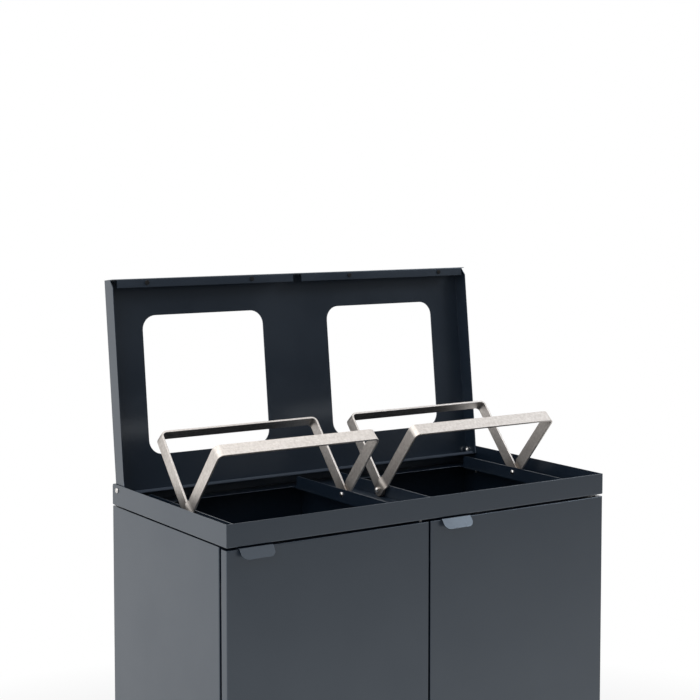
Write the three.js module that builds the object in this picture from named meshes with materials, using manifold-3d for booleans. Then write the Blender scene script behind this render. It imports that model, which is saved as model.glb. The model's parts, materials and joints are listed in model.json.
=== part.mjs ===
// A free-standing double recycling bin: a steel cabinet with two doors, an open tray on top with two
// pairs of folding bag frames, and a lid with two square windows, shown standing open.
// Millimetres, +X to the right, +Y to the back, +Z up. The origin is set at the end of the file.
import * as THREE from 'three';
import { mergeVertices } from 'three/addons/utils/BufferGeometryUtils.js';
import Module from 'manifold-3d';

const wasm = await Module();
wasm.setup();

// ---- Driving dimensions ----

// Cabinet
const binWidth = 850;
const binDepth = 445;
const rimHeight = 1000; // the tray's rim above the floor
const sheet = 1.5; // steel sheet
const foldRadius = 2; // outside radius of a fold
const seatGap = 0.3; // between pieces that rest on each other
const trayHeight = 41;
const trayLift = 2; // the spacers between the tray and the cabinet
const rearRimRadius = 5; // the fold along the tray's rear rim
const footHeight = 20;
const plinthHeight = 30;
const flangeWidth = 22; // the panels' folded edges
const postWidth = 40;
const postDepth = 18;
const footInsetX = 62;
const footInsetY = 58;
const footPadRadius = 19;
const footPadHeight = 11;
const footPadEdge = 2; // bevel of the pad
const footPadShoulder = 4; // height of the pad's sloping top
const footStemRadius = 5;
const footStemEnd = 5; // above the plinth's top
const footNutRadius = 8.5;
const footNutHeight = 8;

// Doors
const doorDepth = 20;
const doorLip = 12; // the folded edge behind a door's walls
const pinInset = 13; // from a door's right edge to its pins
const pinRadius = 3;
const pinLength = 14;
const pinPoint = 1; // bevel of the pin's end
const pinHeadHeight = 2;
const pinHeadEdge = 0.8; // bevel of the pin's head
const swingClearance = 0.6; // kept all round a door's turning edge
const catchHeight = 46;
const catchWidth = 14;
const catchInset = 3;
const catchBelowTop = 60;
const catchCorner = 1.5;

// Door pulls
const pullInset = 24; // from a door's left edge
const pullWidth = 66;
const pullRoot = 15; // the part that lies on the door
const pullTongue = 22; // the part that slopes outwards
const pullSlope = 52; // degrees below level
const pullCornerRadius = 8;

// Bag frames: flat bar, two bent loops on each pair of pivots
const barWidth = 25;
const barThickness = 4;
const barBend = 5; // inside radius of the loop's corners
const frameSideRoom = 41; // from a loop's side to the edge of its half of the bin
const frameEndRoom = 7.5; // from a lowered loop to the edge of the tray's opening
const frontLean = 40; // degrees from upright
const rearLean = 41;
const joggleLength = 9; // over which a front leg steps outwards
const legClearance = 1; // under a lowered leg

// Rails that carry the bag frames
const railThickness = 2;
const railEdge = 10.5; // from a pivot to the rail's top
const railEndRoom = 4; // from a rail's end to the lowered loop
const railCorner = 6;
const washerThickness = 1.2;
const washerRadius = 7.5;
const openingFront = 39; // from the tray's front to its openings
const openingBack = 45; // from the tray's back to its openings
const openingCorner = 5;

// Lid
const lidSideGap = 1; // to the tray's walls
const lidFrontRoom = 24; // from the tray's front to the closed lid
const hingeFromBack = 20;
const hingeBelowRim = 11;
const skinRise = 10; // the lid's skin above the hinge
const rearOverhang = 8; // of the lid behind the hinge
const lidLean = 6.35; // the open lid leans back from upright
const frontLip = 17;
const rearLip = 6;
const lipEndGap = 10;
const lipNotchStart = 402.5; // along the front lip
const lipNotchWidth = 20;
const cornerCutLength = 16;
const cornerCutHeight = 12;
const windowSide = 270;
const windowFromHinge = 195; // to the windows' centres
const windowCorner = 28;
const bufferRadius = 4.5;
const bufferHeight = 2.2;
const bufferEdge = 0.7; // bevel of the buffer's rim
const bufferStemRadius = 2.25;
const bufferBarb = 0.9; // the barb beyond the stem
const bufferTip = 0.6; // the stem's end within its radius
const bufferBarbHeight = 2.7;
const bufferFromSide = 72.5;
const bufferFromMiddle = 117.5;

// Fasteners
const boltRadius = 3;
const boltHeadRadius = 5.2;
const boltHeadHeight = 3;
const boltHeadEdge = 0.6; // upright rim under the dome
const holeClearance = 0.2;
const nutAcrossFlats = 10;
const nutHeight = 4;
const nutDome = 3.2;
const nutDomeInset = 0.4; // from the flats to the dome
const nutBoreDepth = 4.6;
const trayBoltLength = 16;
const trayBoltFront = 75;
const trayBoltBack = 60;
const trayBoltInset = 13; // from the cabinet's sides
const spacerRadius = 7;

// Fineness of round shapes
const foldSteps = 3;
const holeSides = 16;
const turnedSides = 16;
const roundSides = 24;
const windowSteps = 8;
const domeSteps = 4;
const cutPast = 1; // how far a cut runs past the face that it opens

// ---- Derived places ----

const trayBottom = rimHeight - trayHeight;
const trayFloor = trayBottom + sheet;
const cabinetTop = trayBottom - trayLift;
const plinthTop = footHeight + plinthHeight;
const hingeY = binDepth - hingeFromBack;
const hingeZ = rimHeight - hingeBelowRim;
const openTurn = THREE.MathUtils.degToRad(90 + lidLean);
const leanBack = THREE.MathUtils.degToRad(lidLean);

const doorSwing = Math.hypot(pinInset, doorDepth / 2);
const doorGap = doorSwing - pinInset + swingClearance;
const cabinetFront = doorDepth / 2 + doorSwing + swingClearance;
const doorWidth = (binWidth - doorGap) / 2;
const doorBottom = plinthTop + doorGap;
const doorTop = trayBottom - doorGap;
const doorRights = [doorWidth, binWidth];

const holderCentres = [binWidth / 4, binWidth * 3 / 4];
const pivotY = (openingFront + binDepth - openingBack) / 2;
const pivotZ = trayFloor + barWidth / 2 + legClearance;
const loopHalfWidth = binWidth / 4 - frameSideRoom;
const loopReach = (binDepth - openingFront - openingBack) / 2 - frameEndRoom;
const legInside = loopHalfWidth - barThickness;
const washerInside = legInside - seatGap - washerThickness;
const railOutside = washerInside - seatGap;
const railInside = railOutside - railThickness;
const frontLegInside = loopHalfWidth + seatGap;
const frontLegOutside = frontLegInside + barThickness;
const holeRadius = boltRadius + holeClearance;
const legHalf = barWidth / 2;
const foldInside = foldRadius - sheet;

const lidLeft = sheet + lidSideGap;
const lidRight = binWidth - lidLeft;
const lidFront = lidFrontRoom - hingeY;
const lidBottom = trayFloor + seatGap + bufferHeight - hingeZ;
const rearRimEdge = hingeY
  + (skinRise + seatGap + Math.sin(leanBack) * hingeBelowRim) / Math.cos(leanBack);

// ---- Finishes ----

const finishes = {
  paint: new THREE.MeshStandardMaterial({ color: 0x3a3f47, roughness: 0.62, metalness: 0.15 }),
  stainless: new THREE.MeshStandardMaterial({ color: 0xc9c4bd, roughness: 0.34, metalness: 1 }),
  zinc: new THREE.MeshStandardMaterial({ color: 0xa9abad, roughness: 0.4, metalness: 1 }),
  blackRubber: new THREE.MeshStandardMaterial({ color: 0x17181a, roughness: 0.8, metalness: 0 }),
  blackPlastic: new THREE.MeshStandardMaterial({ color: 0x1d1f22, roughness: 0.6, metalness: 0 }),
};

// ---- Shapes and solids ----

// A closed geometry becomes a solid that can be joined and cut.
function solidFrom(geometry) {
  geometry.deleteAttribute('normal');
  geometry.deleteAttribute('uv');
  const merged = mergeVertices(geometry, 1e-4);
  const triangles = [];
  for (let at = 0; at < merged.index.count; at += 3) {
    const [a, b, c] = [0, 1, 2].map((corner) => merged.index.getX(at + corner));
    if (a !== b && b !== c && c !== a) {
      triangles.push(a, b, c);
    }
  }
  return new wasm.Manifold(new wasm.Mesh({
    numProp: 3,
    vertProperties: new Float32Array(merged.attributes.position.array),
    triVerts: new Uint32Array(triangles),
  }));
}

function geometryFrom(solid) {
  const { vertProperties, triVerts, numProp } = solid.getMesh();
  const geometry = new THREE.BufferGeometry();
  const position = new THREE.InterleavedBuffer(vertProperties, numProp);
  geometry.setAttribute('position', new THREE.InterleavedBufferAttribute(position, 3, 0));
  geometry.setIndex(new THREE.BufferAttribute(triVerts, 1));
  return geometry;
}

// Extrusion axes: a shape drawn in (y, z) runs along x, one in (x, z) along y, one in (x, y) along z.
const turnTo = {
  x: new THREE.Matrix4().set(0, 0, 1, 0, 1, 0, 0, 0, 0, 1, 0, 0, 0, 0, 0, 1),
  y: new THREE.Matrix4().set(1, 0, 0, 0, 0, 0, -1, 0, 0, 1, 0, 0, 0, 0, 0, 1),
  z: new THREE.Matrix4(),
};

function prism(axis, shape, from, to) {
  const geometry = new THREE.ExtrudeGeometry(shape, { depth: to - from, bevelEnabled: false });
  geometry.applyMatrix4(turnTo[axis]);
  geometry.translate(axis === 'x' ? from : 0, axis === 'y' ? to : 0, axis === 'z' ? from : 0);
  return solidFrom(geometry);
}

function block([x0, x1], [y0, y1], [z0, z1]) {
  const geometry = new THREE.BoxGeometry(x1 - x0, y1 - y0, z1 - z0);
  geometry.translate((x0 + x1) / 2, (y0 + y1) / 2, (z0 + z1) / 2);
  return solidFrom(geometry);
}

function joined(solids) {
  return solids.reduce((whole, solid) => whole.add(solid));
}

// A rectangle with the radius of each corner given, from the lowest one anticlockwise.
function roundedRect([u0, u1], [v0, v1], radii, steps = foldSteps) {
  const corners = [[u0, v0, 1, 1], [u1, v0, -1, 1], [u1, v1, -1, -1], [u0, v1, 1, -1]];
  const points = corners.flatMap(([u, v, inU, inV], index) => {
    const radius = radii[index];
    if (radius === 0) {
      return [new THREE.Vector2(u, v)];
    }
    const centre = new THREE.Vector2(u + inU * radius, v + inV * radius);
    return Array.from({ length: steps + 1 }, (_, step) => {
      const angle = Math.PI * (1 + index / 2 + step / steps / 2);
      return new THREE.Vector2(Math.cos(angle), Math.sin(angle)).multiplyScalar(radius).add(centre);
    });
  });
  return new THREE.Shape(points);
}

function circle(u, v, radius, sides = holeSides) {
  const points = Array.from({ length: sides }, (_, index) => {
    const angle = 2 * Math.PI * (index + 0.5) / sides;
    return new THREE.Vector2(u + radius * Math.cos(angle), v + radius * Math.sin(angle));
  });
  return new THREE.Shape(points);
}

// A folded strip seen along its folds: the corners of its middle line, rounded, with a thickness.
function foldedStrip(corners, thickness, insideRadius) {
  const radius = insideRadius + thickness / 2;
  const right = [];
  const left = [];
  corners.forEach((corner, index) => {
    const before = corners[index - 1];
    const after = corners[index + 1];
    const into = (before ? corner.clone().sub(before) : after.clone().sub(corner)).normalize();
    const onward = (after ? after.clone().sub(corner) : into.clone()).normalize();
    const turn = Math.atan2(into.cross(onward), into.dot(onward));
    const side = Math.sign(turn);
    const steps = side === 0 ? 0 : foldSteps + 1;
    const start = corner.clone().addScaledVector(into, -radius * Math.tan(Math.abs(turn) / 2));
    const centre = start.addScaledVector(new THREE.Vector2(-into.y, into.x), side * radius);
    for (let step = 0; step <= steps; step += 1) {
      const angle = steps === 0 ? 0 : turn * step / steps;
      const across = new THREE.Vector2(-into.y, into.x).rotateAround(new THREE.Vector2(), angle);
      left.push(centre.clone().addScaledVector(across, thickness / 2 - side * radius));
      right.push(centre.clone().addScaledVector(across, -thickness / 2 - side * radius));
    }
  });
  return new THREE.Shape([...right, ...left.reverse()]);
}

// A solid of revolution about one axis: a profile of [radius, place along the axis] pairs.
function turned(axis, profile, [x, y, z], flip = 1, sides = turnedSides) {
  const points = profile.map(([radius, along]) => new THREE.Vector2(radius, along));
  const geometry = new THREE.LatheGeometry(points, sides);
  if (axis === 'x') {
    geometry.rotateZ(-flip * Math.PI / 2);
  }
  if (axis === 'z') {
    geometry.rotateX(flip * Math.PI / 2);
  }
  geometry.translate(x, y, z);
  return solidFrom(geometry);
}

function addPart(parent, name, solid, finish) {
  const mesh = new THREE.Mesh(geometryFrom(solid), finishes[finish]);
  mesh.name = name;
  parent.add(mesh);
  return mesh;
}

// ---- Fasteners ----

// The points of a quarter turn, each worked out from its angle.
function quarterTurn(pointAt) {
  return Array.from({ length: domeSteps + 1 }, (_, step) => pointAt(Math.PI / 2 * step / domeSteps));
}

// A bolt with a domed head: the head's flat side is at 0 and the shank runs on along the axis.
function domeBolt(axis, place, flip, length) {
  const rise = boltHeadHeight - boltHeadEdge;
  const dome = quarterTurn((angle) => (
    [boltHeadRadius * Math.sin(angle), -boltHeadEdge - rise * Math.cos(angle)]));
  const shank = [[boltHeadRadius, 0], [boltRadius, 0], [boltRadius, length], [0, length]];
  return turned(axis, [...dome, ...shank], place, flip);
}

// A domed hexagon nut with a blind bore; its open side is at 0 and its dome points along the axis.
function domeNut(place, flip) {
  const cornerRadius = nutAcrossFlats / Math.sqrt(3);
  const [x, y, z] = place;
  const ends = [x, x + flip * nutHeight].sort((a, b) => a - b);
  const hexagon = prism('x', circle(y, z, cornerRadius, 6), ends[0], ends[1]);
  const domeRadius = nutAcrossFlats / 2 - nutDomeInset;
  const dome = quarterTurn((angle) => (
    [domeRadius * Math.cos(angle), nutHeight + nutDome * Math.sin(angle)]));
  const capFoot = nutHeight / 2;
  const cap = turned('x', [[0, capFoot], [domeRadius, capFoot], ...dome], place, flip);
  const boreEnds = [x - flip * cutPast, x + flip * nutBoreDepth].sort((a, b) => a - b);
  return hexagon.add(cap).subtract(prism('x', circle(y, z, holeRadius), boreEnds[0], boreEnds[1]));
}

// ---- Tray ----

function topTray() {
  const outside = prism('x', roundedRect([0, binDepth], [trayBottom, rimHeight],
    [foldRadius, foldRadius, rearRimRadius, 0]), 0, binWidth)
    .intersect(prism('y', roundedRect([0, binWidth], [trayBottom, rimHeight],
      [foldRadius, foldRadius, 0, 0]), 0, binDepth));
  const hollow = prism('x', roundedRect([sheet, binDepth - sheet], [trayFloor, rimHeight - sheet],
    [foldInside, foldInside, rearRimRadius - sheet, 0]), sheet, binWidth - sheet)
    .intersect(prism('y', roundedRect([sheet, binWidth - sheet], [trayFloor, rimHeight],
      [foldInside, foldInside, 0, 0]), 0, binDepth));
  const mouth = block([sheet, binWidth - sheet], [sheet, rearRimEdge],
    [trayFloor + foldRadius, rimHeight + cutPast]);
  const openings = holderCentres.map((centre) => prism('z', roundedRect(
    [centre - railOutside - seatGap, centre + railOutside + seatGap],
    [openingFront, binDepth - openingBack],
    [openingCorner, openingCorner, openingCorner, openingCorner],
  ), trayBottom - cutPast, trayFloor + cutPast));
  const hingeHoles = prism('x', circle(hingeY, hingeZ, holeRadius), -cutPast, binWidth + cutPast);
  const floorHoles = [...trayBoltPlaces, ...doorRights.map((right) => [right - pinInset, doorDepth / 2])]
    .map(([x, y]) => prism('z', circle(x, y, holeRadius), trayBottom - cutPast, trayFloor + cutPast));
  return outside.subtract(joined([hollow, mouth, ...openings, hingeHoles, ...floorHoles]));
}

// ---- Cabinet ----

// A panel's folded channel seen from above, and the same sheet's level flanges at its two ends.
function sidePanel(side) {
  const outside = side < 0 ? 0 : binWidth;
  const inside = (distance) => outside - side * distance;
  const across = (near, far) => [inside(near), inside(far)].sort((a, b) => a - b);
  const foot = plinthTop + seatGap;
  const outline = [
    new THREE.Vector2(inside(flangeWidth), cabinetFront + sheet / 2),
    new THREE.Vector2(inside(sheet / 2), cabinetFront + sheet / 2),
    new THREE.Vector2(inside(sheet / 2), binDepth - sheet / 2),
    new THREE.Vector2(inside(flangeWidth), binDepth - sheet / 2),
  ];
  const wall = prism('z', foldedStrip(outline, sheet, foldInside), foot, cabinetTop);
  const flangeEnds = [cabinetFront + foldRadius, binDepth - foldRadius];
  const topFlange = block(across(sheet / 2, flangeWidth), flangeEnds, [cabinetTop - sheet, cabinetTop]);
  const footFlange = block(across(sheet / 2, flangeWidth), flangeEnds, [foot, foot + sheet]);
  const holes = trayBoltPlaces.map(([x, y]) => (
    prism('z', circle(x, y, holeRadius), cabinetTop - 2 * sheet, cabinetTop + cutPast)));
  return joined([wall, topFlange, footFlange]).subtract(joined(holes));
}

// The back panel lies against the side panels' rear flanges, its ends folded forwards.
function backPanel() {
  const face = binDepth - sheet - seatGap - sheet / 2;
  const low = plinthTop + sheet + 2 * seatGap + sheet / 2;
  const high = cabinetTop - sheet - seatGap - sheet / 2;
  const outline = [
    new THREE.Vector2(face - flangeWidth, low),
    new THREE.Vector2(face, low),
    new THREE.Vector2(face, high),
    new THREE.Vector2(face - flangeWidth, high),
  ];
  const edge = sheet + seatGap;
  return prism('x', foldedStrip(outline, sheet, foldInside), edge, binWidth - edge);
}

// The post closes the cabinet's front between the doors; the divider's front edge stands in it.
function centrePost() {
  const middle = binWidth / 2;
  const half = postWidth / 2 - sheet / 2;
  const outline = [
    new THREE.Vector2(middle - half, cabinetFront + postDepth),
    new THREE.Vector2(middle - half, cabinetFront + sheet / 2),
    new THREE.Vector2(middle + half, cabinetFront + sheet / 2),
    new THREE.Vector2(middle + half, cabinetFront + postDepth),
  ];
  return prism('z', foldedStrip(outline, sheet, foldInside), plinthTop + seatGap, cabinetTop);
}

function centreDivider() {
  const middle = binWidth / 2;
  const foot = plinthTop + seatGap + sheet / 2;
  const head = cabinetTop - sheet / 2;
  const outline = [
    new THREE.Vector2(middle + flangeWidth, foot),
    new THREE.Vector2(middle, foot),
    new THREE.Vector2(middle, head),
    new THREE.Vector2(middle + flangeWidth, head),
  ];
  const front = cabinetFront + sheet + seatGap;
  const flangeFront = cabinetFront + postDepth + seatGap;
  const back = binDepth - 2 * sheet - 2 * seatGap;
  const flangeBack = back - flangeWidth - seatGap;
  const channel = prism('y', foldedStrip(outline, sheet, foldInside), flangeFront, flangeBack);
  const clearOfFlanges = [plinthTop + 2 * sheet + 3 * seatGap, cabinetTop - 2 * sheet - 2 * seatGap];
  const edges = [[front, flangeFront + sheet], [flangeBack - sheet, back]].map((ends) => (
    block([middle - sheet / 2, middle + sheet / 2], ends, clearOfFlanges)));
  return joined([channel, ...edges]);
}

// A downturned pan under the whole cabinet, open below.
function basePan() {
  const outside = prism('x', roundedRect([0, binDepth], [footHeight, plinthTop],
    [0, 0, foldRadius, foldRadius]), 0, binWidth)
    .intersect(prism('y', roundedRect([0, binWidth], [footHeight, plinthTop],
      [0, 0, foldRadius, foldRadius]), 0, binDepth));
  const hollow = block([sheet, binWidth - sheet], [sheet, binDepth - sheet],
    [footHeight - cutPast, plinthTop - sheet]);
  const drilled = [plinthTop - 2 * sheet, plinthTop + cutPast];
  const pinHoles = doorRights.map((right) => (
    prism('z', circle(right - pinInset, doorDepth / 2, holeRadius), ...drilled)));
  const footHoles = footPlaces.map(([x, y]) => (
    prism('z', circle(x, y, footStemRadius + seatGap), ...drilled)));
  return outside.subtract(joined([hollow, ...pinHoles, ...footHoles]));
}

// A levelling foot: a pad on a threaded stem, and the nut that the plinth stands on.
function levellingFoot(x, y) {
  const nutTop = plinthTop - sheet - seatGap;
  const stemTop = plinthTop + footStemEnd;
  return turned('z', [
    [0, 0],
    [footPadRadius - footPadEdge, 0],
    [footPadRadius, footPadEdge],
    [footPadRadius, footPadHeight - footPadShoulder],
    [footStemRadius + footPadEdge, footPadHeight],
    [footStemRadius, footPadHeight],
    [footStemRadius, nutTop - footNutHeight],
    [footNutRadius, nutTop - footNutHeight],
    [footNutRadius, nutTop],
    [footStemRadius, nutTop],
    [footStemRadius, stemTop],
    [0, stemTop],
  ], [x, y, 0], 1, roundSides);
}

function magneticCatch(left) {
  const high = doorTop - catchBelowTop;
  const profile = roundedRect([doorDepth + seatGap, cabinetFront - seatGap], [high - catchHeight, high],
    [catchCorner, 0, 0, catchCorner]);
  return prism('x', profile, left + catchInset, left + catchInset + catchWidth);
}

// ---- Doors ----

// A door is a pan that faces the front, with a lip folded in behind its walls. Its origin is its pins.
function doorPan() {
  const across = [pinInset - doorWidth, pinInset];
  const deep = [-doorDepth / 2, doorDepth / 2];
  const shape = ([x0, x1], [y0, y1], [z0, z1], radius) => prism('z',
    roundedRect([x0, x1], [y0, y1], [radius, radius, radius, radius]), z0, z1)
    .intersect(prism('x', roundedRect([y0, y1], [z0, z1], [radius, radius, radius, radius]), x0, x1));
  const inset = ([low, high], by) => [low + by, high - by];
  const upright = [doorBottom, doorTop];
  const outside = shape(across, deep, upright, foldRadius);
  const hollow = shape(inset(across, sheet), inset(deep, sheet), inset(upright, sheet), foldInside);
  const access = block(inset(across, doorLip), [0, doorDepth], inset(upright, doorLip));
  const pinHole = prism('z', circle(0, 0, holeRadius), doorBottom - cutPast, doorTop + cutPast);
  return outside.subtract(joined([hollow, access, pinHole]));
}

// The pull's root lies on the door's top wall and its tongue slopes out over the door's face.
function doorPull() {
  const left = pinInset - doorWidth + pullInset;
  const rootHeight = doorTop + seatGap + sheet / 2;
  const slope = THREE.MathUtils.degToRad(pullSlope);
  const foldY = -doorDepth / 2 - sheet / 2 - seatGap;
  const fold = new THREE.Vector2(foldY, rootHeight);
  const tip = fold.clone().add(
    new THREE.Vector2(-Math.cos(slope), -Math.sin(slope)).multiplyScalar(pullTongue));
  const strip = prism('x', foldedStrip([new THREE.Vector2(foldY + pullRoot, rootHeight), fold, tip],
    sheet, foldInside), left, left + pullWidth);
  const low = tip.y - sheet;
  const outline = prism('y', roundedRect([left, left + pullWidth], [low, rootHeight + sheet],
    [pullCornerRadius, pullCornerRadius, 0, 0], foldSteps + 2), tip.x - sheet, doorDepth);
  return strip.intersect(outline);
}

// A door pin: its head lies on the tray or under the plinth, and its shank enters the door.
function doorPin(x, flatAt, direction) {
  return turned('z', [
    [0, -pinHeadHeight],
    [boltHeadRadius - pinHeadEdge, -pinHeadHeight],
    [boltHeadRadius, pinHeadEdge - pinHeadHeight],
    [boltHeadRadius, 0],
    [pinRadius, 0],
    [pinRadius, pinLength - pinPoint],
    [pinRadius - pinPoint, pinLength],
    [0, pinLength],
  ], [x, doorDepth / 2, flatAt], direction);
}

// ---- Bag frames ----

// A leg's outline seen from the side: straight edges and a full round end about the pivot.
function legOutline() {
  const straight = prism('x', roundedRect([-legHalf, legHalf], [0, loopReach], [0, 0, 0, 0]),
    -binWidth, binWidth);
  return straight.add(prism('x', circle(0, 0, legHalf, roundSides), -binWidth, binWidth));
}

function loop(legFoot) {
  const middle = loopHalfWidth - barThickness / 2;
  const high = loopReach - barThickness / 2;
  const corners = [[-middle, legFoot], [-middle, high], [middle, high], [middle, legFoot]];
  const points = corners.map(([x, z]) => new THREE.Vector2(x, z));
  return prism('y', foldedStrip(points, barThickness, barBend), -barWidth, barWidth);
}

const pivotHole = () => prism('x', circle(0, 0, holeRadius), -binWidth, binWidth);

function rearLoop() {
  return loop(-barWidth).intersect(legOutline()).subtract(pivotHole());
}

// A front loop's legs step outwards above the pivot to lap over the rear loop's legs. The step's folds
// run along the rear leg's front edge as the frames stand in their V, so that the step is their stop.
function frontLoop() {
  const spread = THREE.MathUtils.degToRad(frontLean + rearLean);
  const above = loopHalfWidth - barThickness / 2;
  const below = frontLegInside + barThickness / 2;
  const foldTurn = Math.atan2(below - above, joggleLength);
  const foldTangent = (barBend + barThickness / 2) * Math.tan(foldTurn / 2);
  const shoulder = legHalf + seatGap + foldTangent;
  const legs = [-1, 1].map((side) => {
    const corners = [[below, -2 * barWidth], [below, shoulder], [above, shoulder + joggleLength],
      [above, loopReach / 2]];
    const points = corners.map(([x, z]) => new THREE.Vector2(side * x, z));
    const geometry = new THREE.ExtrudeGeometry(foldedStrip(points, barThickness, barBend),
      { depth: 2 * loopReach, bevelEnabled: false });
    geometry.translate(0, 0, -loopReach);
    geometry.applyMatrix4(turnTo.y);
    geometry.rotateX(Math.PI / 2 - spread);
    return solidFrom(geometry);
  });
  const stepEnd = 2 * barWidth;
  const lowPart = block([-binWidth, binWidth], [-barWidth, barWidth], [-barWidth, stepEnd]);
  const lowLegs = joined(legs).intersect(lowPart);
  return lowLegs.add(loop(stepEnd - cutPast)).intersect(legOutline()).subtract(pivotHole());
}

// A rail is a flat strip on edge, welded into the side of the tray's opening.
function bagRail(inside) {
  const half = loopReach - barThickness - railEndRoom;
  const profile = roundedRect([pivotY - half, pivotY + half], [trayBottom, pivotZ + railEdge],
    [0, 0, railCorner, railCorner], foldSteps + 1);
  const hole = prism('x', circle(pivotY, pivotZ, holeRadius), -cutPast, binWidth + cutPast);
  return prism('x', profile, inside, inside + railThickness).subtract(hole);
}

function pivotWasher(inside) {
  const ring = circle(pivotY, pivotZ, washerRadius);
  ring.holes.push(circle(pivotY, pivotZ, holeRadius));
  return prism('x', ring, inside, inside + washerThickness);
}

// ---- Lid ----

// The lid is a shallow pan, drawn closed about its hinge: its skin on top, its walls hanging down.
function lidPan() {
  const across = [lidLeft, lidRight];
  const deep = [lidFront, rearOverhang];
  const outside = prism('x', roundedRect(deep, [lidBottom, skinRise],
    [foldRadius, foldRadius, foldRadius, foldRadius]), ...across)
    .intersect(prism('y', roundedRect(across, [lidBottom, skinRise],
      [0, 0, foldRadius, foldRadius]), ...deep));
  const hollow = prism('x', roundedRect([lidFront + sheet, rearOverhang - sheet],
    [lidBottom + sheet, skinRise - sheet], [foldInside, foldInside, foldInside, foldInside]),
    lidLeft + sheet, lidRight - sheet);
  const access = block([lidLeft + sheet, lidRight - sheet],
    [lidFront + frontLip, rearOverhang - rearLip], [lidBottom - cutPast, 0]);
  const lipEnds = [[lidLeft + sheet, lidLeft + lipEndGap], [lidRight - lipEndGap, lidRight - sheet]]
    .map((ends) => block(ends, [lidFront + sheet, rearOverhang - sheet], [lidBottom - cutPast, 0]));
  const notchStart = lidLeft + lipNotchStart;
  const throughLip = [lidBottom - cutPast, lidBottom + 2 * sheet];
  const notch = block([notchStart, notchStart + lipNotchWidth],
    [lidFront + sheet, lidFront + frontLip + cutPast], throughLip);
  const cornerCut = new THREE.Shape([
    new THREE.Vector2(lidFront - cutPast, lidBottom - cutPast),
    new THREE.Vector2(lidFront + cornerCutLength, lidBottom - cutPast),
    new THREE.Vector2(lidFront + cornerCutLength, lidBottom),
    new THREE.Vector2(lidFront, lidBottom + cornerCutHeight),
    new THREE.Vector2(lidFront - cutPast, lidBottom + cornerCutHeight),
  ]);
  const cornerCuts = [[lidLeft - cutPast, lidLeft + sheet], [lidRight - sheet, lidRight + cutPast]]
    .map((ends) => prism('x', cornerCut, ...ends));
  const windows = holderCentres.map((centre) => prism('z', roundedRect(
    [centre - windowSide / 2, centre + windowSide / 2],
    [-windowFromHinge - windowSide / 2, -windowFromHinge + windowSide / 2],
    [windowCorner, windowCorner, windowCorner, windowCorner],
    windowSteps,
  ), 0, skinRise + cutPast));
  const hingeHole = prism('x', circle(0, 0, holeRadius), 0, binWidth);
  const stemHoles = bufferPlaces.map(([x, y]) => (
    prism('z', circle(x, y, bufferStemRadius + seatGap), ...throughLip)));
  return outside.subtract(joined(
    [hollow, access, ...lipEnds, notch, ...cornerCuts, ...windows, hingeHole, ...stemHoles]));
}

// A rubber buffer under the front lip, held by the barb of its stem.
function lidBuffer(x, y) {
  const seat = lidBottom - seatGap;
  const foot = seat - bufferHeight;
  const barb = lidBottom + sheet + seatGap;
  const tip = barb + bufferBarbHeight;
  return turned('z', [
    [0, foot],
    [bufferRadius - bufferEdge, foot],
    [bufferRadius, foot + bufferEdge],
    [bufferRadius, seat],
    [bufferStemRadius, seat],
    [bufferStemRadius, barb],
    [bufferStemRadius + bufferBarb, barb],
    [bufferStemRadius - bufferTip, tip],
    [0, tip],
  ], [x, y, 0]);
}

// ---- Places that repeat ----

const trayBoltPlaces = [trayBoltInset, binWidth - trayBoltInset]
  .flatMap((x) => [trayBoltFront, binDepth - trayBoltBack].map((y) => [x, y]));
const footPlaces = [footInsetX, binWidth - footInsetX]
  .flatMap((x) => [footInsetY, binDepth - footInsetY].map((y) => [x, y]));
const bufferPlaces = [
  lidLeft + bufferFromSide,
  binWidth / 2 - bufferFromMiddle,
  binWidth / 2 + bufferFromMiddle,
  lidRight - bufferFromSide,
].map((x) => [x, lidFront + frontLip / 2]);

// ---- Assembly ----

const bin = new THREE.Group();

addPart(bin, 'top_tray', topTray(), 'paint');
addPart(bin, 'side_panel_left', sidePanel(-1), 'paint');
addPart(bin, 'side_panel_right', sidePanel(1), 'paint');
addPart(bin, 'back_panel', backPanel(), 'paint');
addPart(bin, 'centre_post', centrePost(), 'paint');
addPart(bin, 'centre_divider', centreDivider(), 'paint');
addPart(bin, 'base_pan', basePan(), 'paint');
footPlaces.forEach(([x, y], index) => {
  addPart(bin, `foot_${index + 1}`, levellingFoot(x, y), 'blackPlastic');
});
trayBoltPlaces.forEach(([x, y], index) => {
  const head = trayFloor + seatGap;
  addPart(bin, `tray_bolt_${index + 1}`, domeBolt('z', [x, y, head], -1, trayBoltLength), 'zinc');
  const ring = circle(x, y, spacerRadius);
  ring.holes.push(circle(x, y, holeRadius));
  const spacer = prism('z', ring, cabinetTop + seatGap, trayBottom - seatGap);
  addPart(bin, `tray_spacer_${index + 1}`, spacer, 'blackPlastic');
});

['left', 'right'].forEach((side, index) => {
  const right = doorRights[index];
  const left = right - doorWidth;
  const door = new THREE.Group();
  door.position.set(right - pinInset, doorDepth / 2, 0);
  addPart(door, `door_${side}`, doorPan(), 'paint');
  addPart(door, `door_pull_${side}`, doorPull(), 'paint');
  bin.add(door);
  const pinX = right - pinInset;
  addPart(bin, `door_pin_${side}_top`, doorPin(pinX, trayFloor + seatGap, -1), 'zinc');
  addPart(bin, `door_pin_${side}_foot`, doorPin(pinX, plinthTop - sheet - seatGap, 1), 'zinc');
  addPart(bin, `catch_${side}`, magneticCatch(left), 'blackPlastic');
});

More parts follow.
